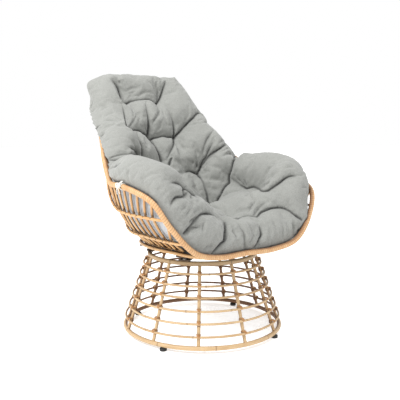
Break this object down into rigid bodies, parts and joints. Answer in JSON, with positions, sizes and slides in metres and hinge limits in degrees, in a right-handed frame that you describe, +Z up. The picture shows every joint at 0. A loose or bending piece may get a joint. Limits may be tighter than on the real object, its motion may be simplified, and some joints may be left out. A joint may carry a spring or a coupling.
{
  "type": "papasan swivel chair",
  "caption": "High-backed papasan chair: a rattan basket seat with arms and a tufted pad, turning on a round lattice stand.",
  "frame": {"origin": "on the floor, under the middle of the chair's bounding box; the swivel axis is vertical and stands 119 mm in front of it", "axes": "+Z up; the sitter faces -Y; +X is the right-hand side as seen from the front"},
  "size_m": [0.8198, 0.8512, 1.0049],
  "materials": {
    "rattan": "natural rattan cane, satin",
    "wrapped_rim": "cane wound tightly round a core, satin",
    "top_band": "smooth bent cane, satin",
    "dark_steel": "dark brown powder coat",
    "bright_steel": "zinc plated",
    "rubber": "matt black",
    "grey_cloth": "heathered grey woven cloth",
    "cotton": "white cotton tape"
  },
  "bodies": {
    "stand": {"foot_1": "rubber", "foot_2": "rubber", "foot_3": "rubber", "foot_4": "rubber", "floor_ring": "rattan", "top_ring": "top_band", "upright_1": "rattan", "upright_2": "rattan", "upright_3": "rattan", "upright_4": "rattan", "upright_5": "rattan", "upright_6": "rattan", "upright_7": "rattan", "upright_8": "rattan", "upright_9": "rattan", "upright_10": "rattan", "upright_11": "rattan", "hoop_1": "rattan", "hoop_2": "rattan", "hoop_3": "rattan", "hoop_4": "rattan", "hoop_5": "rattan", "hoop_6": "rattan", "stand_swivel_plate": "dark_steel", "arm_bolt_1": "bright_steel", "arm_bolt_2": "bright_steel", "arm_bolt_3": "bright_steel", "arm_bolt_4": "bright_steel", "ball_race": "bright_steel", "king_pin": "bright_steel"},
    "seat": {"seat_swivel_plate": "dark_steel", "rim": "wrapped_rim", "upper_rod": "rattan", "lower_rod": "rattan", "seat_ring": "rattan", "rib_right_1": "rattan", "rib_left_1": "rattan", "rib_right_2": "rattan", "rib_left_2": "rattan", "rib_right_3": "rattan", "rib_left_3": "rattan", "rib_right_4": "rattan", "rib_left_4": "rattan", "rib_right_5": "rattan", "rib_left_5": "rattan", "rib_right_6": "rattan", "rib_left_6": "rattan", "rib_right_7": "rattan", "rib_left_7": "rattan", "rib_right_8": "rattan", "rib_left_8": "rattan", "rib_right_9": "rattan", "rib_left_9": "rattan", "rib_right_10": "rattan", "rib_left_10": "rattan", "rib_right_11": "rattan", "rib_left_11": "rattan", "tie_right": "cotton", "tie_left": "cotton", "cushion": "grey_cloth"}
  },
  "joints": [
    {"name": "swivel", "type": "hinge", "parent": "stand", "child": "seat", "pos_m": [0, -0.11884, 0.315], "axis": [0, 0, 1], "continuous": true}
  ]
}
